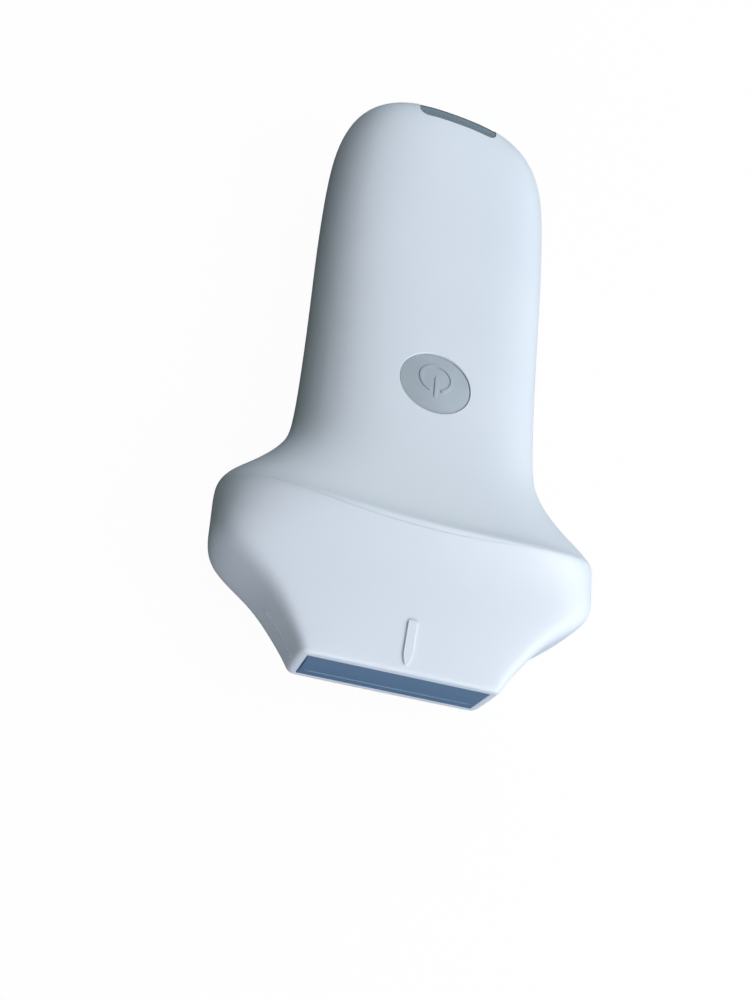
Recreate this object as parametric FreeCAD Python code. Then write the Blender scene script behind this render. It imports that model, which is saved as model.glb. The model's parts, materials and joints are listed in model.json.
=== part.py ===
"""Wireless hand-held linear-array ultrasound scanner, in millimetres.

Every piece is built in the nose frame: X across the scanner, Y the distance from the
nose plane towards the tail, Z = 0 on the mid-plane and +Z on the button side.
On export all pieces move together, so that the scanner lies on its flat back at Z = 0
with its length centred on Y = 0.
"""
import FreeCAD, Part
import math
import os

from FreeCAD import Vector

# ---------------------------------------------------------------- driving dimensions
BODY_LENGTH = 160.0          # nose plane to tail tip
LENS_CROWN = 0.2             # lens proud of the nose plane
REST_DEPTH = 11.8            # mid-plane down to the flat back
WALL = 2.0                   # moulded wall
RIDGE_Y = 26.0               # crest line of the shoulder ridge
EDGE_ROUND = 0.2             # rounding of the moulded opening edges
MARK_RISE = 0.22             # height of the orientation mark
RIB_RISE = 0.12              # height of the side ribs
RIM_POLES = 24               # control points round each section

# Sections: distance from nose, half width, half thickness at the front and at the back,
# squareness, reach of the corner rounding across the front, sweep of the sides
SECTIONS = [
    (0.0, 17.7, 5.7, 5.5, 8.0, 3.3, 0.0),
    (0.0, 18.7, 6.3, 6.2, 7.5, 5.7, 0.0),
    (1.2, 19.2, 6.8, 6.8, 7.0, 7.1, 0.2),
    (5.0, 22.8, 7.9, 8.0, 6.4, 8.8, 1.2),
    (9.5, 28.2, 9.1, 8.7, 5.6, 12.0, 2.6),
    (14.0, 37.6, 10.1, 10.3, 4.6, 17.4, 3.8),
    (19.0, 38.1, 11.4, 12.0, 3.9, 23.1, 4.6),
    (23.0, 38.7, 13.2, 12.3, 3.4, 30.2, 4.9),
    (25.0, 38.9, 14.2, 12.3, 3.2, 34.8, 4.9),
    (25.9, 38.9, 14.6, 12.3, 3.0, 38.9, 4.9),
    (27.0, 38.5, 13.8, 12.3, 3.0, 38.5, 4.8),
    (29.0, 37.2, 13.1, 12.3, 3.0, 37.2, 4.6),
    (32.5, 33.9, 12.5, 12.3, 2.9, 33.9, 4.0),
    (37.5, 30.3, 11.9, 12.3, 2.8, 30.3, 3.0),
    (44.0, 27.2, 11.3, 12.3, 2.7, 27.2, 1.6),
    (52.0, 26.7, 11.0, 12.3, 2.7, 26.7, 0.5),
    (64.0, 26.9, 11.2, 12.3, 2.7, 26.9, 0.0),
    (84.0, 27.8, 11.2, 12.3, 2.7, 27.8, 0.0),
    (106.0, 29.1, 11.3, 12.3, 2.7, 29.1, 0.0),
    (128.0, 29.7, 12.1, 12.3, 2.7, 29.7, 0.0),
    (143.0, 29.2, 13.7, 12.3, 2.7, 29.2, 0.0),
    (153.0, 25.8, 14.0, 12.0, 2.7, 25.8, 0.0),
    (158.5, 18.2, 11.0, 9.8, 2.7, 18.2, 0.0),
    (160.0, 11.2, 5.6, 5.2, 2.7, 11.2, 0.0),
    (160.0, 3.5, 1.5, 1.5, 2.7, 3.5, 0.0),
]

# Seam between the head and the handle: an arc in plan, just nose-side of the ridge
SEAM_Y = 25.1
SEAM_RADIUS = 121.0
SEAM_GAP = 0.02

# Nose window and acoustic stack
LENS_LENGTH = 34.0
LENS_WIDTH = 9.0
LENS_BOND = 0.02             # bond line round the lens
CROWN_HALF_WIDTH = 4.35
CROWN_MARGIN = 0.2           # flat margin at each end of the crown
LINE_MARGIN = 1.0            # end of the moulding line to the end of the lens
MOULD_LINE = (-2.0, 0.15, 0.1)         # Z, half width and height of the line on the lens
LENS_DEPTH = 1.0             # lens body behind the nose plane
MATCH_OUTER = 0.15
MATCH_INNER = 0.2
ELEMENT_COUNT = 64
ELEMENT_PITCH = 0.46
ELEMENT_KERF = 0.06
ELEMENT_DEPTH = 0.4
ELEMENT_HEIGHT = 6.4
BACKING_DEPTH = 6.0
CARRIER_END = 12.0
FLEX_THICK = 0.15

# Power button
BUTTON_Y = 62.3
BUTTON_RADIUS = 7.85
BUTTON_GAP = 0.08
BUTTON_EDGE = 10.65          # height of the button face at its edge
BUTTON_DOME = 0.85           # rise of the button face at its centre
BUTTON_THICK = 2.1
CAP_ROUND = 0.15
FLANGE_RADIUS = 8.8
FLANGE_THICK = 0.6
POST_RADIUS = 1.5
PRESS_TRAVEL = 0.3
SYMBOL_RADIUS = 3.45         # mean radius of the power symbol ring
SYMBOL_STROKE = 0.8
SYMBOL_OFFSET = 0.85
SYMBOL_RISE = 0.12           # symbol above the dome
SYMBOL_GAP = 40.0            # degrees left open in the ring
BAR_LENGTH = 5.3

# Tail window, on a plane tilted half way between the tail and the button side
TAIL_TILT = 45.0
TAIL_CENTRE = (152.6, 8.2)   # Y, Z of the window axis
WINDOW_HALF_WIDTH = 10.9
WINDOW_HALF_HEIGHT = 6.0
WINDOW_CORNER = 2.5
WINDOW_BOND = 0.1
WINDOW_RECESS = 0.1
WINDOW_THICK = 1.1
WINDOW_LEDGE = 1.3           # depth of the ledge under the outer surface
LIGHT_HALF_WIDTH = 5.6
LIGHT_HALF_HEIGHT = 3.4
TAIL_SCREW_X = 8.2

# Inner levels (Z) and lengths (Y)
CHASSIS_TOP = -6.7
CHASSIS_THICK = 0.8
CHASSIS_HALF_WIDTH = 17.3
CHASSIS_START = 16.5
CHASSIS_SHOULDER = 147.0
CHASSIS_END = 153.0
BOARD_BOTTOM = 0.6
BOARD_THICK = 1.0
BOARD_CORNER = 1.5
MAIN_BOARD = (46.0, 142.0, 42.0)       # start, end, width
FRONT_BOARD = (16.0, 44.0, 48.0)
BATTERY = (56.0, 128.0, 28.0)
BATTERY_THICK = 5.8
COIL_Y = 92.0
COIL_OUTER = 13.5
COIL_INNER = 7.0
HEAD_SCREW = (20.0, 21.5)              # X, Y of the chassis screws in the head

BOARD_TOP = BOARD_BOTTOM + BOARD_THICK
SWITCH_TOP = BOARD_TOP + 3.6
CHASSIS_BOTTOM = CHASSIS_TOP - CHASSIS_THICK
NOSE_SHIFT = -(BODY_LENGTH - LENS_CROWN) / 2.0
STANDOFFS = [(x, y) for x in (-15.8, 15.8) for y in (50.0, 134.0)]


# ---------------------------------------------------------------- helpers
def box(x0, x1, y0, y1, z0, z1):
    """Box between two corners."""
    return Part.makeBox(x1 - x0, y1 - y0, z1 - z0, Vector(x0, y0, z0))


def centred_box(x, y, width, length, z0, height):
    """Box with its base centred on (x, y)."""
    return box(x - width / 2, x + width / 2, y - length / 2, y + length / 2, z0, z0 + height)


def rod(x, y, z0, z1, radius):
    """Upright cylinder."""
    return Part.makeCylinder(radius, z1 - z0, Vector(x, y, z0))


def slot_face(half_width, half_height):
    """Flat stadium centred on the origin in the XY plane."""
    run = half_width - half_height
    right = Vector(half_width, 0, 0)
    edges = [
        Part.LineSegment(Vector(-run, half_height, 0), Vector(run, half_height, 0)).toShape(),
        Part.Arc(Vector(run, half_height, 0), right, Vector(run, -half_height, 0)).toShape(),
        Part.LineSegment(Vector(run, -half_height, 0), Vector(-run, -half_height, 0)).toShape(),
        Part.Arc(Vector(-run, -half_height, 0), -right, Vector(-run, half_height, 0)).toShape(),
    ]
    return Part.Face(Part.Wire(edges))


def rounded_plate(width, length, height, corner):
    """Plate centred on the origin with rounded upright edges."""
    plate = centred_box(0, 0, width, length, 0, height)
    upright = [e for e in plate.Edges if abs(e.tangentAt(e.FirstParameter).z) > 0.9]
    return plate.makeFillet(corner, upright)


def softened(shape, radius, pick):
    """Round the edges for which pick(edge) holds."""
    return shape.makeFillet(radius, [e for e in shape.Edges if pick(e)])


def on_circle(edge, x, y, radius):
    """True for an edge that runs at one radius round an upright axis."""
    points = edge.discretize(5)
    return all(abs(math.hypot(p.x - x, p.y - y) - radius) < 0.01 for p in points)


def ribbon(start, bend, end, level_start, level_end, thickness, width):
    """Flat strip along Y that steps smoothly from one level to another after the bend."""
    middle = (bend + end) / 2
    outlines = []
    for offset in (thickness / 2, -thickness / 2):
        low = level_start + offset
        high = level_end + offset
        step = Part.BezierCurve()
        step.setPoles([Vector(0, bend, low), Vector(0, middle, low),
                       Vector(0, middle, high), Vector(0, end, high)])
        line = Part.LineSegment(Vector(0, start, low), Vector(0, bend, low))
        outlines.append([line.toShape(), step.toShape()])
    upper, lower = outlines
    closing = []
    for y, level in ((end, level_end), (start, level_start)):
        top = Vector(0, y, level + thickness / 2)
        base = Vector(0, y, level - thickness / 2)
        closing.append(Part.LineSegment(top, base).toShape())
    wire = Part.Wire(upper + [closing[0]] + lower[::-1] + [closing[1]])
    strip = Part.Face(wire).extrude(Vector(width, 0, 0))
    strip.translate(Vector(-width / 2, 0, 0))
    return strip


def tail_place(shape):
    """Move a piece from the window frame (X, down the slope, outwards) to the tail."""
    moved = shape.copy()
    moved.rotate(Vector(0, 0, 0), Vector(1, 0, 0), TAIL_TILT - 90.0)
    moved.translate(Vector(0, TAIL_CENTRE[0], TAIL_CENTRE[1]))
    return moved


def stepped_lead(x, start, step, end, level, rise, radius):
    """Round lead along Y that steps up by rise through two quarter arcs."""
    bend = rise / 2
    slant = bend * math.sqrt(0.5)
    foot = Vector(x, step, level)
    middle = Vector(x, step + bend, level + bend)
    head = Vector(x, step + rise, level + rise)
    low = Vector(x, step + slant, level + bend - slant)
    high = Vector(x, step + rise - slant, level + bend + slant)
    path = Part.Wire([
        Part.LineSegment(Vector(x, start, level), foot).toShape(),
        Part.Arc(foot, low, middle).toShape(),
        Part.Arc(middle, high, head).toShape(),
        Part.LineSegment(head, Vector(x, end, level + rise)).toShape(),
    ])
    ring = Part.Circle(Vector(x, start, level), Vector(0, 1, 0), radius).toShape()
    return path.makePipeShell([Part.Wire(ring)], True, True)


# ---------------------------------------------------------------- body surface
def signed_power(value, exponent):
    """Power of a sine or cosine that keeps its sign."""
    return math.copysign(abs(value) ** exponent, value) if abs(value) > 1e-9 else 0.0


def section_poles(section, inset):
    """Control points of one section, moved inwards by inset."""
    y, half_width, front, back, squareness, reach, sweep = section
    side = max(-1.0, min(1.0, (RIDGE_Y - y) / 15.0))
    half_width = max(half_width - inset, 0.3 * half_width)
    front = max(front - inset, 0.3 * front)
    back = max(back - inset, 0.3 * back)
    reach = min(max(reach - inset, 0.3 * reach), half_width)
    poles = []
    for k in range(RIM_POLES):
        angle = 2.0 * math.pi * k / RIM_POLES
        across = signed_power(math.cos(angle), 2.0 / squareness)
        up = signed_power(math.sin(angle), 2.0 / squareness)
        short = 1.0 - abs(across)
        x = half_width - short * (reach + (half_width - reach) * short ** 2)
        x = math.copysign(x, across)
        z = up * (front if up > 0 else back)
        poles.append(Vector(x, y + inset * side + sweep * (x / half_width) ** 2, z))
    return poles


def body_solid(inset):
    """Closed body whose surface lies inset below the outer surface."""
    poles = [section_poles(section, inset) for section in SECTIONS]
    spans = len(SECTIONS) - 3
    surface = Part.BSplineSurface()
    surface.buildFromPolesMultsKnots(
        poles,
        [4] + [1] * (spans - 1) + [4],
        [1] * (RIM_POLES + 1),
        [float(k) for k in range(spans + 1)],
        [float(k) for k in range(RIM_POLES + 1)],
        False, True, 3, 3)
    skin = surface.toShape()
    caps = [Part.Face(Part.Wire(surface.uIso(u).toShape())) for u in (0.0, float(spans))]
    shell = Part.makeShell([skin] + caps)
    shell.sewShape()
    solid = Part.makeSolid(shell)
    if solid.Volume < 0:
        solid.reverse()
    return solid


def seam_region(offset, tail_side):
    """Upright block on one side of the seam arc, moved by offset along Y."""
    reach = 60.0
    sag = SEAM_RADIUS - math.sqrt(SEAM_RADIUS ** 2 - reach ** 2)
    low = Vector(-reach, SEAM_Y + sag + offset, -30)
    middle = Vector(0, SEAM_Y + offset, -30)
    high = Vector(reach, SEAM_Y + sag + offset, -30)
    far = 200.0 if tail_side else -40.0
    edges = [
        Part.Arc(low, middle, high).toShape(),
        Part.LineSegment(high, Vector(reach, far, -30)).toShape(),
        Part.LineSegment(Vector(reach, far, -30), Vector(-reach, far, -30)).toShape(),
        Part.LineSegment(Vector(-reach, far, -30), low).toShape(),
    ]
    return Part.Face(Part.Wire(edges)).extrude(Vector(0, 0, 60))


def window_prism(shrink):
    """Round-cornered prism standing on the tilted window plane."""
    width = 2 * (WINDOW_HALF_WIDTH - shrink)
    height = 2 * (WINDOW_HALF_HEIGHT - shrink)
    low, high = -3.0, 14.0
    prism = rounded_plate(width, height, high - low, WINDOW_CORNER - shrink)
    prism.translate(Vector(0, 0, low))
    return tail_place(prism)


def light_opening():
    """Through opening behind the window."""
    prism = slot_face(LIGHT_HALF_WIDTH, LIGHT_HALF_HEIGHT).extrude(Vector(0, 0, 17))
    prism.translate(Vector(0, 0, -3))
    return tail_place(prism)


# ---------------------------------------------------------------- housing
def marker_rib():
    """Orientation mark on the front of the head, square at one end and tapered at the nose."""
    tip, shoulder, tail_end, half, corner = 1.2, 3.2, 8.8, 0.85, 0.35
    inner = half - corner
    top = tail_end - corner
    nick = corner * math.sqrt(0.5)
    nose_bend = tip + 0.85
    inner_tip = [Vector(0.3, tip + 0.12, 0), Vector(-0.3, tip + 0.12, 0)]
    points = [Vector(-half, shoulder, 0), Vector(-half, top, 0), Vector(-inner, tail_end, 0),
              Vector(inner, tail_end, 0), Vector(half, top, 0), Vector(half, shoulder, 0)]
    edges = [
        Part.LineSegment(points[0], points[1]).toShape(),
        Part.Arc(points[1], Vector(-inner - nick, top + nick, 0), points[2]).toShape(),
        Part.LineSegment(points[2], points[3]).toShape(),
        Part.Arc(points[3], Vector(inner + nick, top + nick, 0), points[4]).toShape(),
        Part.LineSegment(points[4], points[5]).toShape(),
        Part.Arc(points[5], Vector(0.74 * half, nose_bend, 0), inner_tip[0]).toShape(),
        Part.Arc(inner_tip[0], Vector(0, tip, 0), inner_tip[1]).toShape(),
        Part.Arc(inner_tip[1], Vector(-0.74 * half, nose_bend, 0), points[0]).toShape(),
    ]
    return Part.Face(Part.Wire(edges)).extrude(Vector(0, 0, 20))


def side_rib(side):
    """Narrow locating rib on one side wall of the head."""
    return box(min(0, side * 40), max(0, side * 40), 1.0, 8.5, -0.55, -0.15)


def is_nose_rim(edge):
    """True for the front edges of the nose opening."""
    extent = edge.BoundBox
    inside = extent.XMax < LENS_LENGTH / 2 + 0.01 and extent.XMin > -LENS_LENGTH / 2 - 0.01
    return extent.YMax < 0.01 and inside and abs(extent.ZMax) < LENS_WIDTH / 2 + 0.01


def is_button_rim(edge):
    """True for the outer edge of the button opening."""
    radius = BUTTON_RADIUS + BUTTON_GAP
    return edge.BoundBox.ZMin > BUTTON_EDGE - 0.4 and on_circle(edge, 0, BUTTON_Y, radius)


def head_shell(outer, inner):
    """Head moulding with the nose opening, ribs and chassis bosses."""
    mark = body_solid(-MARK_RISE).common(marker_rib())
    ribs = body_solid(-RIB_RISE).common(side_rib(-1).fuse(side_rib(1)))
    shell = outer.fuse([mark, ribs]).cut(inner)
    shell = shell.common(seam_region(0.0, False))
    opening = box(-LENS_LENGTH / 2, LENS_LENGTH / 2, -2, 5, -LENS_WIDTH / 2, LENS_WIDTH / 2)
    shell = shell.cut(opening)
    shell = softened(shell, EDGE_ROUND, is_nose_rim)
    for x in (-HEAD_SCREW[0], HEAD_SCREW[0]):
        boss = rod(x, HEAD_SCREW[1], -10.6, CHASSIS_BOTTOM, 2.8)
        shell = shell.fuse(boss)
        shell = shell.cut(rod(x, HEAD_SCREW[1], -10.0, CHASSIS_BOTTOM + 1, 0.8))
    return shell.removeSplitter()


def handle_sleeve(outer, inner):
    """Handle moulding with the button opening, the window pocket and the tail bosses."""
    sleeve = outer.cut(inner).common(seam_region(SEAM_GAP, True))
    sleeve = sleeve.cut(rod(0, BUTTON_Y, 5, 20, BUTTON_RADIUS + BUTTON_GAP))
    sleeve = softened(sleeve, EDGE_ROUND / 2, is_button_rim)
    sleeve = sleeve.cut(window_prism(0.0).cut(body_solid(WINDOW_LEDGE)))
    inside = body_solid(WINDOW_LEDGE + 0.15)
    for x in (-TAIL_SCREW_X, TAIL_SCREW_X):
        boss = tail_place(rod(x, 0, -2.6, 6.0, 2.4)).common(inside)
        sleeve = sleeve.fuse(boss)
    for x in (-TAIL_SCREW_X, TAIL_SCREW_X):
        sleeve = sleeve.cut(tail_place(rod(x, 0, -3.0, 6.0, 1.1)))
        sleeve = sleeve.cut(tail_place(rod(x, 0, 0.0, 6.0, 1.8)))
    return sleeve.cut(light_opening()).removeSplitter()


def seam_ring():
    """Elastomer ring that locates and seals the two mouldings from inside."""
    ring = body_solid(WALL + 0.05).cut(body_solid(WALL + 1.2))
    return ring.common(seam_region(-2.0, True)).common(seam_region(2.2, False))


# ---------------------------------------------------------------- acoustic stack
def lens_bead(half_length, z, half_width, rise):
    """Low cylindrical swell along the lens face."""
    foot = 0.1
    edges = [
        Part.Arc(Vector(-half_length, 0, z - half_width), Vector(-half_length, -rise, z),
                 Vector(-half_length, 0, z + half_width)).toShape(),
        Part.LineSegment(Vector(-half_length, 0, z + half_width),
                         Vector(-half_length, foot, z + half_width)).toShape(),
        Part.LineSegment(Vector(-half_length, foot, z + half_width),
                         Vector(-half_length, foot, z - half_width)).toShape(),
        Part.LineSegment(Vector(-half_length, foot, z - half_width),
                         Vector(-half_length, 0, z - half_width)).toShape(),
    ]
    return Part.Face(Part.Wire(edges)).extrude(Vector(2 * half_length, 0, 0))


def acoustic_lens():
    """Lens with flat margins, a low crown along its length and one fine moulding line."""
    half = LENS_WIDTH / 2 - LENS_BOND
    reach = LENS_LENGTH / 2 - LENS_BOND
    lens = box(-reach, reach, 0, LENS_DEPTH, -half, half)
    crown_reach = reach - CROWN_MARGIN
    lens = lens.fuse(lens_bead(crown_reach, 0, CROWN_HALF_WIDTH, LENS_CROWN))
    line_z, line_half, line_rise = MOULD_LINE
    line = lens_bead(reach - LINE_MARGIN, line_z, line_half, line_rise)
    line.translate(Vector(0, 0.02 - crown_drop(line_z), 0))
    return lens.fuse(line).removeSplitter()


def crown_drop(z):
    """How far the crown stands in front of the lens margin at height z."""
    radius = (CROWN_HALF_WIDTH ** 2 + LENS_CROWN ** 2) / (2 * LENS_CROWN)
    return math.sqrt(radius ** 2 - z ** 2) - radius + LENS_CROWN


def stack_layer(y0, depth, length, height):
    """Flat layer of the acoustic stack."""
    return box(-length / 2, length / 2, y0, y0 + depth, -height / 2, height / 2)


def piezo_elements(y0):
    """Diced row of transducer elements."""
    row = []
    for k in range(ELEMENT_COUNT):
        x = (k - (ELEMENT_COUNT - 1) / 2.0) * ELEMENT_PITCH
        half = (ELEMENT_PITCH - ELEMENT_KERF) / 2
        row.append(box(x - half, x + half, y0, y0 + ELEMENT_DEPTH,
                       -ELEMENT_HEIGHT / 2, ELEMENT_HEIGHT / 2))
    return Part.makeCompound(row)


def array_carrier(y0):
    """Frame that holds the acoustic stack behind the nose opening."""
    outer = box(-16.2, 16.2, y0, 5.0, -4.25, 4.25)
    outer = outer.fuse(box(-16.2, 16.2, 5.0, CARRIER_END, -4.9, 4.9))
    hole = box(-15.4, 15.4, y0 - 1, CARRIER_END + 1, -3.85, 3.85)
    return outer.cut(hole)


# ---------------------------------------------------------------- power button
def power_symbol():
    """Ring with a gap towards the nose and a bar through the gap."""
    top = BUTTON_EDGE + BUTTON_DOME + 1.0
    base = BUTTON_EDGE - 0.4
    centre_y = BUTTON_Y + SYMBOL_OFFSET
    half = SYMBOL_STROKE / 2
    ring = rod(0, centre_y, base, top, SYMBOL_RADIUS + half)
    ring = ring.cut(rod(0, centre_y, base - 1, top + 1, SYMBOL_RADIUS - half))
    reach = 8.0
    side = reach * math.tan(math.radians(SYMBOL_GAP / 2))
    corners = [Vector(0, centre_y, base - 1), Vector(-side, centre_y - reach, base - 1),
               Vector(side, centre_y - reach, base - 1), Vector(0, centre_y, base - 1)]
    ring = ring.cut(Part.Face(Part.makePolygon(corners)).extrude(Vector(0, 0, 6)))
    bar = slot_face(BAR_LENGTH / 2, half).extrude(Vector(0, 0, top - base))
    bar.rotate(Vector(0, 0, 0), Vector(0, 0, 1), 90)
    bar.translate(Vector(0, centre_y + 0.3 - BAR_LENGTH / 2, base))
    return ring.fuse(bar)


def dome(rise):
    """Ball whose top is the button face, raised by rise."""
    radius = (BUTTON_RADIUS ** 2 + BUTTON_DOME ** 2) / (2 * BUTTON_DOME)
    centre = Vector(0, BUTTON_Y, BUTTON_EDGE + BUTTON_DOME - radius)
    return Part.makeSphere(radius + rise, centre)


def button_cap():
    """Round domed cap with a raised symbol, a hidden flange and a centre post."""
    base = BUTTON_EDGE - BUTTON_THICK
    cap = rod(0, BUTTON_Y, base, BUTTON_EDGE + BUTTON_DOME + 1, BUTTON_RADIUS).common(dome(0.0))
    cap = softened(cap, CAP_ROUND, lambda e: abs(e.BoundBox.ZMin - BUTTON_EDGE) < 0.01
                   and abs(e.BoundBox.ZMax - BUTTON_EDGE) < 0.01)
    cap = cap.fuse(power_symbol().common(dome(SYMBOL_RISE)))
    cap = cap.fuse(rod(0, BUTTON_Y, base - FLANGE_THICK, base, FLANGE_RADIUS))
    cap = cap.fuse(rod(0, BUTTON_Y, SWITCH_TOP + 0.05, base, POST_RADIUS))
    return cap.removeSplitter()


def button_retainer():
    """Cup bonded under the wall that guides the flange of the cap."""
    base = BUTTON_EDGE - BUTTON_THICK - FLANGE_THICK
    floor = base - PRESS_TRAVEL - 0.4
    cup = rod(0, BUTTON_Y, floor - 0.8, 10.0, FLANGE_RADIUS + 1.4)
    cup = cup.cut(rod(0, BUTTON_Y, floor, 12, FLANGE_RADIUS + 0.3))
    cup = cup.cut(rod(0, BUTTON_Y, 0, 12, POST_RADIUS + 0.4))
    return cup.common(body_solid(WALL + 0.05))


def tact_switch_body():
    """Square body of the tact switch with its plunger hole."""
    body = centred_box(0, BUTTON_Y, 6.0, 6.0, BOARD_TOP, 3.0)
    return body.cut(rod(0, BUTTON_Y, BOARD_TOP + 1.2, BOARD_TOP + 4, 1.75))


def tact_switch_plunger():
    """Plunger of the tact switch."""
    return rod(0, BUTTON_Y, BOARD_TOP + 1.2 + PRESS_TRAVEL + 0.3, SWITCH_TOP, 1.7)


# ---------------------------------------------------------------- tail window
def tail_window():
    """Smoked window set flush in its pocket."""
    lens = window_prism(WINDOW_BOND).common(body_solid(WINDOW_RECESS))
    return lens.cut(body_solid(WINDOW_THICK))


def window_gasket():
    """Adhesive gasket between the window and its ledge."""
    ring = window_prism(WINDOW_BOND).common(body_solid(WINDOW_THICK))
    ring = ring.cut(body_solid(WINDOW_LEDGE)).cut(light_opening())
    for x in (-TAIL_SCREW_X, TAIL_SCREW_X):
        ring = ring.cut(tail_place(rod(x, 0, -1, 8, 2.0)))
    return ring


def tail_screws():
    """Two screws that pull the handle onto the chassis."""
    screws = []
    for x in (-TAIL_SCREW_X, TAIL_SCREW_X):
        screw = rod(x, 0, 0.0, 1.0, 1.7).fuse(rod(x, 0, -4.6, 0.0, 1.0))
        socket = centred_box(x, 0, 1.8, 0.45, 0.5, 1)
        screws.append(tail_place(screw.cut(socket)))
    return Part.makeCompound(screws)


def light_guide():
    """Diffuser block between the indicator lights and the window."""
    block = slot_face(LIGHT_HALF_WIDTH - 0.3, LIGHT_HALF_HEIGHT - 0.3).extrude(Vector(0, 0, 1.9))
    block.translate(Vector(0, 0, -1.4))
    return tail_place(block)


def led_board():
    """Small board for the indicator lights."""
    return tail_place(centred_box(0, 0, 11.0, 6.4, -2.7, 0.6))


def indicator_leds():
    """Row of five indicator lights."""
    row = [tail_place(centred_box(x * 2.1, 0, 1.0, 1.6, -2.1, 0.6)) for x in range(-2, 3)]
    return Part.makeCompound(row)


# ---------------------------------------------------------------- chassis and boards
def chassis():
    """Aluminium tray with a raised tab behind the tail window."""
    half = CHASSIS_HALF_WIDTH
    tray = box(-half, half, CHASSIS_START, CHASSIS_SHOULDER, CHASSIS_BOTTOM, CHASSIS_TOP)
    tray = tray.fuse(box(-23.0, 23.0, CHASSIS_START + 1, 30.0, CHASSIS_BOTTOM, CHASSIS_TOP))
    for x in (-half, half - 0.8):
        tray = tray.fuse(box(x, x + 0.8, 70.0, 126.0, CHASSIS_TOP - 0.1, CHASSIS_TOP + 3.0))
    tab = tail_place(centred_box(0, 1.0, 21.4, 8.0, -3.6, 0.85))
    tray = tray.fuse(tab)
    tray = tray.fuse(box(-9.0, 9.0, 140.0, CHASSIS_END, CHASSIS_BOTTOM, CHASSIS_TOP))
    tray = tray.fuse(box(-9.0, 9.0, CHASSIS_END - 1.2, CHASSIS_END, CHASSIS_BOTTOM, 3.4))
    for x in (-TAIL_SCREW_X, TAIL_SCREW_X):
        tray = tray.cut(tail_place(rod(x, 0, -6, 0, 1.05)))
    for x in (-HEAD_SCREW[0], HEAD_SCREW[0]):
        tray = tray.cut(rod(x, HEAD_SCREW[1], -9, -5, 1.1))
    return tray.removeSplitter()


def chassis_screws():
    """Two screws from the chassis into the head."""
    screws = []
    for x in (-HEAD_SCREW[0], HEAD_SCREW[0]):
        y = HEAD_SCREW[1]
        screw = rod(x, y, CHASSIS_TOP, CHASSIS_TOP + 1.2, 1.9)
        screw = screw.fuse(rod(x, y, -9.4, CHASSIS_TOP, 0.75))
        screws.append(screw.cut(centred_box(x, y, 2.2, 0.5, CHASSIS_TOP + 0.7, 1)))
    return Part.makeCompound(screws)


def board(spec):
    """Circuit board from start, end and width."""
    start, end, width = spec
    plate = rounded_plate(width, end - start, BOARD_THICK, BOARD_CORNER)
    plate.translate(Vector(0, (start + end) / 2, BOARD_BOTTOM))
    return plate


def main_board():
    """Main circuit board with its screw holes."""
    plate = board(MAIN_BOARD)
    for x, y in STANDOFFS:
        plate = plate.cut(rod(x, y, 0, 3, 1.0))
    return plate


def front_board():
    """Front-end board beside the array."""
    plate = board(FRONT_BOARD)
    for x in (-21.0, 21.0):
        plate = plate.cut(rod(x, 34.0, 0, 3, 1.0))
    return plate


def board_standoffs():
    """Pillars from the chassis to the boards."""
    pillars = [rod(x, y, CHASSIS_TOP, BOARD_BOTTOM, 1.4).cut(rod(x, y, -4, 2, 0.7))
               for x, y in STANDOFFS]
    return Part.makeCompound(pillars)


def board_screws():
    """Screws that hold the main board on its pillars."""
    screws = []
    for x, y in STANDOFFS:
        screw = rod(x, y, BOARD_TOP, BOARD_TOP + 1.1, 1.7)
        screw = screw.fuse(rod(x, y, -2.4, BOARD_TOP, 0.65))
        screws.append(screw.cut(centred_box(x, y, 2.0, 0.45, BOARD_TOP + 0.6, 1)))
    return Part.makeCompound(screws)


def chip_row(places, size, height):
    """Group of equal flat chips on top of a board."""
    return Part.makeCompound([centred_box(x, y, size[0], size[1], BOARD_TOP, height)
                              for x, y in places])


def shield_can():
    """Thin metal can over the radio section."""
    width, length, height, sheet = 22.0, 18.0, 2.6, 0.2
    can = centred_box(0, 116.0, width, length, BOARD_TOP, height)
    return can.cut(centred_box(0, 116.0, width - 2 * sheet, length - 2 * sheet,
                               BOARD_TOP - 1, height + 1 - sheet))


def battery_cell():
    """Flat pouch cell with rounded long edges."""
    start, end, width = BATTERY
    z0 = CHASSIS_TOP + 0.25
    cell = box(-width / 2, width / 2, start, end, z0, z0 + BATTERY_THICK)
    long_edges = [e for e in cell.Edges if abs(e.tangentAt(e.FirstParameter).y) > 0.9]
    return cell.makeFillet(2.4, long_edges)


def battery_tape():
    """Two strips of foam tape under the cell."""
    strips = [box(x - 3.0, x + 3.0, BATTERY[0] + 4, BATTERY[1] - 4, CHASSIS_TOP,
                  CHASSIS_TOP + 0.25) for x in (-8.0, 8.0)]
    return Part.makeCompound(strips)


def battery_leads():
    """Two insulated leads from the cell to the connector on the main board."""
    leads = [stepped_lead(x, BATTERY[1], 133.0, 140.0, -3.4, 2.5, 0.5) for x in (-1.2, 1.2)]
    return Part.makeCompound(leads)


def battery_connector():
    """Connector under the main board for the battery leads."""
    return centred_box(0, 141.0, 6.0, 2.0, BOARD_BOTTOM - 2.4, 2.4)


def charging_coil():
    """Flat wound charging coil."""
    z0 = CHASSIS_BOTTOM - 1.3
    turns = []
    count = 8
    step = (COIL_OUTER - COIL_INNER) / count
    for k in range(count):
        inner = COIL_INNER + k * step
        ring = rod(0, COIL_Y, z0, z0 + 0.6, inner + step * 0.82)
        turns.append(ring.cut(rod(0, COIL_Y, z0 - 1, z0 + 2, inner)))
    return Part.makeCompound(turns)


def coil_ferrite():
    """Ferrite sheet between the coil and the chassis."""
    return rod(0, COIL_Y, CHASSIS_BOTTOM - 0.6, CHASSIS_BOTTOM, COIL_OUTER + 0.8)


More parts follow.
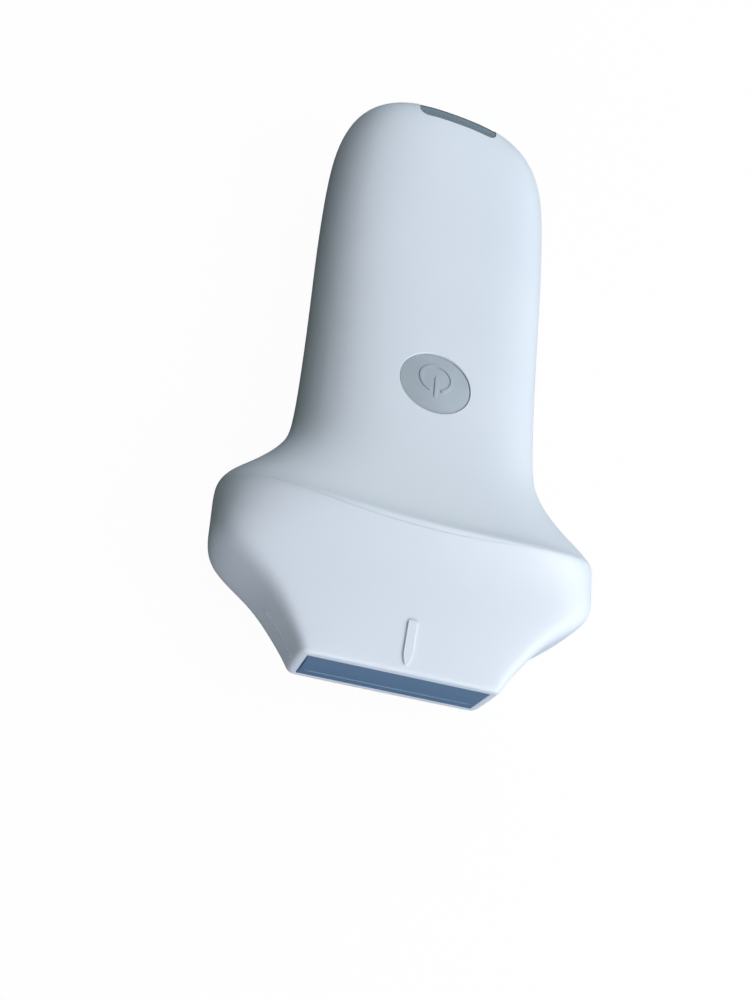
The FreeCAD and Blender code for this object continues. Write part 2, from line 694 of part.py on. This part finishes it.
def inductors():
    """Wound power inductors."""
    cans = [centred_box(x, 84.0, 6.0, 6.0, BOARD_TOP, 2.8) for x in (-12.0, 12.0)]
    return Part.makeCompound([can.makeFillet(0.8, [e for e in can.Edges if
                             abs(e.tangentAt(e.FirstParameter).z) > 0.9]) for can in cans])


def small_capacitors():
    """Rows of small ceramic capacitors."""
    places = [(x, y) for y in (76.0, 104.0) for x in (-14, -10, -6, 6, 10, 14)]
    return chip_row(places, (1.6, 0.8), 0.8)


def board_connector():
    """Mating connector that joins the two boards."""
    return centred_box(0, 45.0, 20.0, 5.0, BOARD_TOP, 2.0)


def flex_connectors():
    """Connectors for the two array flexes, above and below the front-end board."""
    upper = centred_box(0, 19.5, 30.0, 3.0, BOARD_TOP, 1.6)
    lower = centred_box(0, 19.5, 30.0, 3.0, BOARD_BOTTOM - 1.6, 1.6)
    return Part.makeCompound([upper, lower])


def array_flex(side):
    """Flex circuit from the array to its connector on one side of the board."""
    y0 = LENS_DEPTH + MATCH_OUTER + MATCH_INNER + ELEMENT_DEPTH
    end = BOARD_TOP + 0.8 if side > 0 else BOARD_BOTTOM - 0.8
    return ribbon(y0, 9.0, 18.0, 3.55 * side, end, FLEX_THICK, 28.0)


# ---------------------------------------------------------------- export
def build():
    """All pieces by name, in the nose frame."""
    outer = body_solid(0.0)
    outer = outer.common(box(-60, 60, -1, 170, -REST_DEPTH, 30))
    inner = body_solid(WALL)
    y1 = LENS_DEPTH
    y2 = y1 + MATCH_OUTER
    y3 = y2 + MATCH_INNER
    y4 = y3 + ELEMENT_DEPTH
    return {
        "head_shell": head_shell(outer, inner),
        "handle_sleeve": handle_sleeve(outer, inner),
        "seam_ring": seam_ring(),
        "acoustic_lens": acoustic_lens(),
        "matching_layer_outer": stack_layer(y1, MATCH_OUTER, 30.6, 7.4),
        "matching_layer_inner": stack_layer(y2, MATCH_INNER, 30.6, 7.4),
        "piezo_elements": piezo_elements(y3),
        "backing_block": stack_layer(y4, BACKING_DEPTH, 30.6, 6.8),
        "array_carrier": array_carrier(y1),
        "array_flex_front": array_flex(1),
        "array_flex_back": array_flex(-1),
        "flex_connectors": flex_connectors(),
        "front_board": front_board(),
        "receive_chips": chip_row([(-16.5, 28.0), (-5.5, 28.0), (5.5, 28.0), (16.5, 28.0)],
                                  (9.0, 9.0), 1.0),
        "pulser_chips": chip_row([(-16.5, 38.0), (-5.5, 38.0), (5.5, 38.0), (16.5, 38.0)],
                                 (6.0, 6.0), 0.9),
        "board_connector": board_connector(),
        "main_board": main_board(),
        "processor_chip": chip_row([(0, 94.0)], (17.0, 17.0), 1.5),
        "memory_chips": chip_row([(-14.5, 95.0), (14.5, 95.0)], (8.0, 11.0), 1.0),
        "power_inductors": inductors(),
        "small_capacitors": small_capacitors(),
        "radio_module": chip_row([(0, 116.0)], (18.0, 14.0), 1.8),
        "radio_shield": shield_can(),
        "chip_antenna": chip_row([(0, 137.5)], (9.0, 3.0), 1.2),
        "tact_switch_body": tact_switch_body(),
        "tact_switch_plunger": tact_switch_plunger(),
        "button_cap": button_cap(),
        "button_retainer": button_retainer(),
        "chassis": chassis(),
        "chassis_screws": chassis_screws(),
        "board_standoffs": board_standoffs(),
        "board_screws": board_screws(),
        "battery_cell": battery_cell(),
        "battery_tape": battery_tape(),
        "battery_leads": battery_leads(),
        "battery_connector": battery_connector(),
        "charging_coil": charging_coil(),
        "coil_ferrite": coil_ferrite(),
        "tail_window": tail_window(),
        "window_gasket": window_gasket(),
        "tail_screws": tail_screws(),
        "light_guide": light_guide(),
        "led_board": led_board(),
        "indicator_leds": indicator_leds(),
    }


os.makedirs("parts", exist_ok=True)
for name, shape in build().items():
    shape.translate(Vector(0, NOSE_SHIFT, REST_DEPTH))
    shape.exportStep("parts/" + name + ".step")
    print(name, len(shape.Solids), round(shape.Volume, 1), shape.isValid())
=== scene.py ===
"""Looks of the hand-held ultrasound scanner: materials, studio light and camera."""
import json
import math

import bpy
from mathutils import Matrix, Vector


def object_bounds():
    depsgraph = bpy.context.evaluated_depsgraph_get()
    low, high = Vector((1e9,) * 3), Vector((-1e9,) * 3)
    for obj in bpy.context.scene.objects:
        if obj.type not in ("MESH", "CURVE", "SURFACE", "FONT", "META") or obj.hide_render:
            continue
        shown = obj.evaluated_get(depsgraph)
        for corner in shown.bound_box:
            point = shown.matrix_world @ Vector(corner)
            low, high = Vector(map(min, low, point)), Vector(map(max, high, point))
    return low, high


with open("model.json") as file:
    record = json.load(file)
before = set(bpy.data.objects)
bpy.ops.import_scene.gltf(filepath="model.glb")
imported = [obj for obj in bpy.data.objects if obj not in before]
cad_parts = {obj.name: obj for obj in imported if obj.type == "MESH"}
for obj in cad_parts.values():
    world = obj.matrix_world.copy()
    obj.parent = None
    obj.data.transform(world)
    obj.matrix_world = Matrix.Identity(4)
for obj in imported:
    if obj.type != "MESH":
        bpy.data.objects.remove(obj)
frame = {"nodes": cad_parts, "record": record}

cad_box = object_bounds()
MM = 0.001
nose_mount = next(m for m in frame["record"]["mounts"] if m["name"] == "nose")
NOSE_LEVEL = nose_mount["pos_m"][2]              # height of the lens centre line
HEAD_LENGTH = 25.1 * MM                          # nose to parting line, on the centre line
SEAM_START = nose_mount["pos_m"][1] + HEAD_LENGTH
SEAM_RADIUS = 121 * MM                           # bow of the parting line, seen from above
HIGHLIGHT_LINE_DROP = 2 * MM                            # raised line with a painted highlight, below the lens centre line
HIGHLIGHT_LINE_HALF_LENGTH = 15.5 * MM


# ------------------------------------------------------------------ node helpers
class Tree:
    """Short names for building one material's node tree."""

    def __init__(self, name):
        self.material = bpy.data.materials.new(name)
        self.material.use_nodes = True
        self.nodes = self.material.node_tree.nodes
        self.nodes.clear()
        self.output = self.add("ShaderNodeOutputMaterial")
        self.coords = self.add("ShaderNodeTexCoord").outputs["Object"]

    def add(self, kind, **inputs):
        """New node. Inputs are plain values or output sockets."""
        node = self.nodes.new(kind)
        for key, value in inputs.items():
            self.set(node, key, value)
        return node

    def set(self, node, key, value):
        """Set an input by name or index, linking it if the value is a socket."""
        socket = node.inputs[key]
        if isinstance(value, bpy.types.NodeSocket):
            self.material.node_tree.links.new(value, socket)
        else:
            socket.default_value = value

    def noise(self, size, detail=3.0, stretch=(1, 1, 1)):
        """Noise whose features are about size metres, stretched along the axes."""
        mapping = self.add("ShaderNodeMapping")
        self.set(mapping, "Vector", self.coords)
        mapping.inputs["Scale"].default_value = stretch
        node = self.add("ShaderNodeTexNoise", Scale=1.0 / size, Detail=detail)
        self.set(node, "Vector", mapping.outputs[0])
        return node.outputs["Fac"]

    def remap(self, value, low, high, to_low=0.0, to_high=1.0, smooth=False):
        """Map a value between two ranges."""
        node = self.add("ShaderNodeMapRange")
        if smooth:
            node.interpolation_type = "SMOOTHSTEP"
        for index, item in enumerate((value, low, high, to_low, to_high)):
            self.set(node, index, item)
        return node.outputs[0]

    def math(self, operation, a, b=0.0):
        """Math node on two values."""
        node = self.add("ShaderNodeMath")
        node.operation = operation
        self.set(node, 0, a)
        self.set(node, 1, b)
        return node.outputs[0]

    def mix(self, factor, a, b):
        """Mix two colours."""
        node = self.add("ShaderNodeMix")
        node.data_type = "RGBA"
        for key, item in (("Factor", factor), (6, a), (7, b)):
            self.set(node, key, rgba(item))
        return node.outputs[2]

    def edges(self, radius):
        """Rounded normal, and a mask that is 1 on edges and 0 on open faces."""
        bevel = self.add("ShaderNodeBevel", Radius=radius)
        bevel.samples = 6
        flat = self.add("ShaderNodeNewGeometry").outputs["Normal"]
        dot = self.add("ShaderNodeVectorMath")
        dot.operation = "DOT_PRODUCT"
        self.set(dot, 0, bevel.outputs[0])
        self.set(dot, 1, flat)
        return bevel.outputs[0], self.remap(dot.outputs["Value"], 0.995, 0.85)

    def bump(self, height, distance, normal, strength=1.0):
        """Bump on top of a normal."""
        node = self.add("ShaderNodeBump", Distance=distance, Strength=strength)
        self.set(node, "Height", height)
        self.set(node, "Normal", normal)
        return node.outputs[0]


def rgba(value):
    """Colour with alpha from three numbers; anything else is left as it is."""
    return (*value, 1.0) if isinstance(value, tuple) and len(value) == 3 else value


def surface(name, colour, second, roughness, grain, depth, wear=None, wear_share=0.4,
            blotch=0.03, stretch=(1, 1, 1), edge=0.15 * MM, metallic=0.0, pattern=None,
            pattern_depth=0.0, **fixed):
    """Procedural material: colour drift, grain, edge wear and an optional pattern.

    roughness is a (low, high) pair, grain and depth the size and depth of the fine texture
    in metres, and pattern(tree) returns a (mask, colour) laid over the base.
    """
    t = Tree(name)
    drift = t.remap(t.noise(blotch, 4.0, stretch), 0.35, 0.65)
    fine = t.noise(grain, 2.0, stretch)
    base = t.mix(drift, colour, second)
    base = t.mix(t.remap(fine, 0.4, 0.75, 0.0, 0.25), base, second)
    normal, rim = t.edges(edge)
    height = fine
    if pattern:
        mask, overlay = pattern(t)
        base = t.mix(mask, base, overlay)
        normal = t.bump(mask, pattern_depth, normal)
    rough = t.remap(t.noise(grain * 9, 3.0, stretch), 0.3, 0.7, *roughness)
    if wear:
        broken = t.remap(t.noise(2.5 * MM, 4.0), 0.38, 0.62)
        worn = t.math("MULTIPLY", t.math("MULTIPLY", rim, broken), wear_share)
        base = t.mix(worn, base, wear)
        rough = t.math("SUBTRACT", rough, t.math("MULTIPLY", worn, 0.08))
    shader = t.add("ShaderNodeBsdfPrincipled", Metallic=metallic)
    t.set(shader, "Base Color", base)
    t.set(shader, "Roughness", rough)
    t.set(shader, "Normal", t.bump(height, depth, normal))
    for key, value in fixed.items():
        t.set(shader, key.replace("_", " "), value)
    t.set(t.output, "Surface", shader.outputs[0])
    return t.material


# ------------------------------------------------------------------ patterns
def place(t):
    """Position across, along and above the scanner."""
    split = t.add("ShaderNodeSeparateXYZ")
    t.set(split, 0, t.coords)
    return split.outputs


def waves(t, scale):
    """Even parallel lines."""
    wave = t.add("ShaderNodeTexWave", Scale=scale, Distortion=0.0)
    t.set(wave, "Vector", t.coords)
    return wave.outputs["Fac"]


def tracks(t):
    """Fine parallel copper tracks broken into fields, for a circuit board."""
    lines = t.remap(waves(t, 330.0), 0.62, 0.72)
    fields = t.remap(t.noise(9 * MM, 1.0), 0.48, 0.5)
    return t.math("MULTIPLY", t.math("MULTIPLY", lines, fields), 0.5), (0.10, 0.36, 0.16)


def strands(t):
    """Copper lines along the length of a flex circuit."""
    return t.remap(waves(t, 480.0), 0.5, 0.7, 0.0, 0.7), (0.78, 0.42, 0.16)


def specks(t):
    """Sparse paler specks in the moulding of a chip, with no lettering."""
    return t.remap(t.noise(1.6 * MM, 1.0), 0.66, 0.7, 0.0, 0.25), (0.11, 0.11, 0.12)


def crinkle(t):
    """Long soft creases of pouch foil."""
    return t.remap(t.noise(5 * MM, 5.0, (1, 0.35, 1)), 0.45, 0.6, 0.0, 0.5), (0.74, 0.75, 0.77)


def seam_shade_line(t):
    """Painted shade: faint darker line where the head and the handle mouldings meet, over a shallow
    bump groove.
    """
    x, y, _ = place(t)
    inside = t.math("SUBTRACT", SEAM_RADIUS ** 2, t.math("MULTIPLY", x, x))
    seam = t.math("SUBTRACT", SEAM_START + SEAM_RADIUS, t.math("SQRT", inside))
    gap = t.math("ABSOLUTE", t.math("SUBTRACT", y, seam))
    uneven = t.remap(t.noise(12 * MM), 0.35, 0.65, 0.1, 0.5)
    # the darker colour is painted shade in the seam; the bump dents a shallow groove
    return t.math("MULTIPLY", t.remap(gap, 0.16 * MM, 0.04 * MM), uneven), (0.66, 0.71, 0.74)


def lens_line_highlight(t):
    """Painted highlight: paler colour along a low raised line on the lens, ending short of its
    ends.
    """
    x, _, z = place(t)
    height = t.math("SUBTRACT", z, NOSE_LEVEL - HIGHLIGHT_LINE_DROP)
    across = t.remap(t.math("ABSOLUTE", height), 0.22 * MM, 0.08 * MM)
    along = t.remap(t.math("ABSOLUTE", x), HIGHLIGHT_LINE_HALF_LENGTH, HIGHLIGHT_LINE_HALF_LENGTH - 0.4 * MM)
    # the paler colour is a painted highlight; the bump makes the raised line
    return t.math("MULTIPLY", t.math("MULTIPLY", across, along), 0.7), (0.24, 0.36, 0.48)


# ------------------------------------------------------------------ materials
def build_materials():
    """One material for each slot of the record."""
    made = {}

    def keep(slot, *args, **kwargs):
        made[slot] = surface(slot, *args, **kwargs)

    # shell pattern: painted shade along the seam between head and handle
    keep("shell_white", (0.785, 0.838, 0.855), (0.76, 0.812, 0.832), (0.36, 0.46), 0.22 * MM,
         0.004 * MM, wear=(0.84, 0.88, 0.9), wear_share=0.25, blotch=0.05, edge=0.14 * MM,
         pattern=seam_shade_line, pattern_depth=-0.005 * MM,
         Coat_Weight=0.12, Coat_Roughness=0.35)
    # lens pattern: painted highlight along a low raised line
    keep("lens_blue", (0.135, 0.235, 0.345), (0.12, 0.21, 0.315), (0.30, 0.40), 0.3 * MM,
         0.003 * MM, wear=(0.19, 0.30, 0.42), blotch=0.012, edge=0.12 * MM,
         stretch=(0.12, 1, 1), pattern=lens_line_highlight, pattern_depth=0.02 * MM)
    keep("button_grey", (0.455, 0.52, 0.54), (0.43, 0.49, 0.51), (0.40, 0.50), 0.2 * MM,
         0.004 * MM, wear=(0.50, 0.56, 0.58), blotch=0.006, edge=0.3 * MM)
    keep("window_smoked", (0.062, 0.102, 0.14), (0.05, 0.085, 0.115), (0.22, 0.32), 0.4 * MM,
         0.001 * MM, wear=(0.12, 0.16, 0.2), blotch=0.01, edge=0.15 * MM,
         Coat_Weight=0.3, Coat_Roughness=0.2)
    keep("elastomer_dark", (0.16, 0.17, 0.18), (0.13, 0.135, 0.14), (0.6, 0.75), 0.15 * MM,
         0.01 * MM)
    keep("matching_grey", (0.40, 0.42, 0.44), (0.36, 0.38, 0.40), (0.45, 0.6), 0.1 * MM,
         0.003 * MM)
    keep("piezo_ceramic", (0.62, 0.56, 0.42), (0.55, 0.49, 0.36), (0.4, 0.6), 0.05 * MM,
         0.003 * MM)
    keep("backing_dark", (0.07, 0.07, 0.075), (0.11, 0.11, 0.115), (0.6, 0.8), 0.12 * MM,
         0.01 * MM)
    keep("carrier_plastic", (0.17, 0.18, 0.19), (0.14, 0.145, 0.15), (0.45, 0.6), 0.2 * MM,
         0.01 * MM, wear=(0.3, 0.31, 0.32))
    keep("flex_amber", (0.55, 0.27, 0.06), (0.48, 0.22, 0.045), (0.25, 0.35), 0.3 * MM,
         0.002 * MM, pattern=strands, pattern_depth=0.01 * MM)
    keep("board_green", (0.02, 0.20, 0.085), (0.018, 0.16, 0.07), (0.28, 0.4), 0.25 * MM,
         0.003 * MM, wear=(0.45, 0.42, 0.25), pattern=tracks, pattern_depth=0.02 * MM)
    keep("chip_black", (0.03, 0.03, 0.032), (0.045, 0.045, 0.05), (0.45, 0.65), 0.08 * MM,
         0.006 * MM, wear=(0.12, 0.12, 0.12), pattern=specks, pattern_depth=0.004 * MM)
    keep("connector_cream", (0.74, 0.69, 0.55), (0.68, 0.62, 0.48), (0.4, 0.55), 0.15 * MM,
         0.006 * MM, wear=(0.82, 0.78, 0.66))
    keep("tin_plate", (0.68, 0.68, 0.66), (0.60, 0.60, 0.59), (0.25, 0.42), 0.2 * MM,
         0.004 * MM, wear=(0.8, 0.8, 0.78), metallic=1.0)
    keep("chassis_aluminium", (0.64, 0.65, 0.67), (0.56, 0.57, 0.59), (0.35, 0.5), 0.15 * MM,
         0.006 * MM, wear=(0.8, 0.8, 0.81), metallic=1.0)
    keep("steel", (0.55, 0.55, 0.56), (0.47, 0.47, 0.48), (0.25, 0.4), 0.1 * MM,
         0.003 * MM, wear=(0.75, 0.75, 0.75), metallic=1.0)
    keep("brass", (0.70, 0.50, 0.20), (0.60, 0.42, 0.16), (0.25, 0.4), 0.1 * MM,
         0.003 * MM, wear=(0.85, 0.66, 0.34), metallic=1.0, stretch=(1, 1, 6))
    keep("cell_foil", (0.58, 0.60, 0.62), (0.50, 0.52, 0.55), (0.3, 0.45), 0.4 * MM,
         0.01 * MM, wear=(0.7, 0.71, 0.72), metallic=0.8, pattern=crinkle,
         pattern_depth=0.1 * MM)
    keep("foam_grey", (0.27, 0.27, 0.27), (0.2, 0.2, 0.2), (0.85, 0.95), 0.25 * MM, 0.08 * MM)
    keep("lead_black", (0.035, 0.035, 0.035), (0.05, 0.05, 0.05), (0.4, 0.5), 0.3 * MM,
         0.004 * MM, stretch=(1, 0.2, 1))
    keep("copper", (0.70, 0.33, 0.16), (0.60, 0.26, 0.12), (0.25, 0.35), 0.15 * MM,
         0.003 * MM, metallic=1.0, wear=(0.85, 0.5, 0.3))
    keep("ferrite", (0.10, 0.10, 0.11), (0.075, 0.075, 0.08), (0.55, 0.7), 0.12 * MM,
         0.006 * MM, wear=(0.18, 0.18, 0.19))
    keep("capacitor_tan", (0.50, 0.36, 0.22), (0.42, 0.30, 0.18), (0.3, 0.45), 0.1 * MM,
         0.003 * MM)
    keep("diffuser_milky", (0.82, 0.85, 0.87), (0.76, 0.79, 0.82), (0.5, 0.6), 0.1 * MM,
         0.004 * MM, Subsurface_Weight=0.3, Subsurface_Radius=(0.002, 0.002, 0.002))
    keep("led_clear", (0.78, 0.85, 0.78), (0.7, 0.78, 0.7), (0.1, 0.2), 0.2 * MM, 0.002 * MM,
         Coat_Weight=0.5)
    return made


def paint_nodes(materials):
    """Give each CAD node the material of its slot in the record."""
    for part in frame["record"]["subparts"]:
        node = frame["nodes"][part["node"]]
        material = materials[part["material_slot"]]
        for slot in node.material_slots:
            slot.material = material


# ------------------------------------------------------------------ studio
LIGHT_SIZE = 0.45       # side of each square light, in metres
LIGHT_DISTANCE = 0.7    # from the middle of the scanner, in metres
# name, azimuth and elevation in degrees, power in watts, colour
LIGHTS = [
    ("nose_right_key", -45, 25, 2.85, (0.86, 0.92, 1.0)),
    ("right_key", 0, 25, 1.25, (0.81, 0.91, 1.0)),
    ("right_high", 0, 45, 2.00, (0.96, 0.92, 0.97)),
    ("nose_low", -90, 8, 2.50, (0.80, 0.80, 1.0)),
    ("nose_left_low", -135, 8, 0.55, (0.80, 1.0, 0.84)),
    ("tail_high", 90, 45, 1.45, (0.81, 0.86, 1.0)),
    ("tail_low", 90, 16, 0.60, (0.73, 0.94, 1.0)),
    ("tail_right", 45, 25, 0.44, (0.59, 0.86, 1.0)),
    ("left_fill", 180, 10, 0.10, (0.90, 0.97, 1.0)),
]
BACKDROP = (0.98, 0.98, 0.98)
FLOOR_HALF = 3.0        # half side of the floor, in metres
FLOOR_GLOW = 0.97       # share of the floor's seen colour that is plain white
FLOOR_BOUNCE = (0.12, 0.13, 0.14)
EYE = Vector((-41.907, -132.739, 148.923)) * MM
AHEAD = Vector((0.20655, 0.53733, -0.81768))
RIGHT = Vector((0.94721, 0.09964, 0.30475))
FOCAL_LENGTH = 29.869   # in millimetres, on a sensor 36 mm high
SENSOR = 36.0


def area_light(name, azimuth, elevation, power, colour):
    """Square soft light round the scanner; azimuth 0 is its right side and -90 its nose."""
    middle = (cad_box[0] + cad_box[1]) / 2
    lamp = bpy.data.lights.new(name, "AREA")
    lamp.size = LIGHT_SIZE
    lamp.energy = power
    lamp.color = colour
    holder = bpy.data.objects.new(name, lamp)
    level = math.cos(math.radians(elevation))
    heading = Vector((level * math.cos(math.radians(azimuth)),
                      level * math.sin(math.radians(azimuth)),
                      math.sin(math.radians(elevation))))
    holder.location = middle + heading * LIGHT_DISTANCE
    holder.rotation_euler = heading.to_track_quat("Z", "Y").to_euler()
    bpy.context.scene.collection.objects.link(holder)


def studio_world():
    """Backdrop that is pale when seen and gives no light, so only the lights shape the shell."""
    world = bpy.data.worlds.new("studio")
    world.use_nodes = True
    backdrop = world.node_tree.nodes["Background"]
    backdrop.inputs["Color"].default_value = rgba(BACKDROP)
    seen = world.node_tree.nodes.new("ShaderNodeLightPath").outputs["Is Camera Ray"]
    world.node_tree.links.new(seen, backdrop.inputs["Strength"])
    bpy.context.scene.world = world


def studio_floor():
    """Pale floor that stays near white to the camera and gives the shaded side little light."""
    mesh = bpy.data.meshes.new("floor")
    corners = [(FLOOR_HALF * x, FLOOR_HALF * y, 0) for x, y in ((-1, -1), (1, -1), (1, 1), (-1, 1))]
    mesh.from_pydata(corners, [], [(0, 1, 2, 3)])
    floor = bpy.data.objects.new("floor", mesh)
    bpy.context.scene.collection.objects.link(floor)
    t = Tree("floor_pale")
    tone = t.mix(t.noise(0.4), (0.93, 0.93, 0.93), (0.95, 0.95, 0.95))
    lit = t.add("ShaderNodeBsdfDiffuse")
    t.set(lit, "Color", tone)
    glow = t.add("ShaderNodeEmission", Strength=1.0)
    seen = t.add("ShaderNodeMixShader", Fac=FLOOR_GLOW)
    t.set(seen, 1, lit.outputs[0])
    t.set(seen, 2, glow.outputs[0])
    dark = t.add("ShaderNodeBsdfDiffuse", Color=rgba(FLOOR_BOUNCE))
    ray = t.add("ShaderNodeLightPath").outputs["Is Camera Ray"]
    both = t.add("ShaderNodeMixShader")
    t.set(both, 0, ray)
    t.set(both, 1, dark.outputs[0])
    t.set(both, 2, seen.outputs[0])
    t.set(t.output, "Surface", both.outputs[0])
    mesh.materials.append(t.material)


def camera():
    """Close perspective view from the nose end, left of the centre line."""
    lens = bpy.data.cameras.new("camera")
    lens.sensor_width = SENSOR
    lens.lens = FOCAL_LENGTH
    lens.clip_start = 0.005
    holder = bpy.data.objects.new("camera", lens)
    back = -AHEAD.normalized()
    side = (RIGHT - RIGHT.dot(back) * back).normalized()
    up = back.cross(side)
    turn = Matrix((side, up, back)).transposed()
    holder.matrix_world = Matrix.Translation(EYE) @ turn.to_4x4()
    bpy.context.scene.collection.objects.link(holder)
    bpy.context.scene.camera = holder


paint_nodes(build_materials())
studio_world()
studio_floor()
for light in LIGHTS:
    area_light(*light)
camera()
bpy.context.scene.view_settings.view_transform = "Standard"
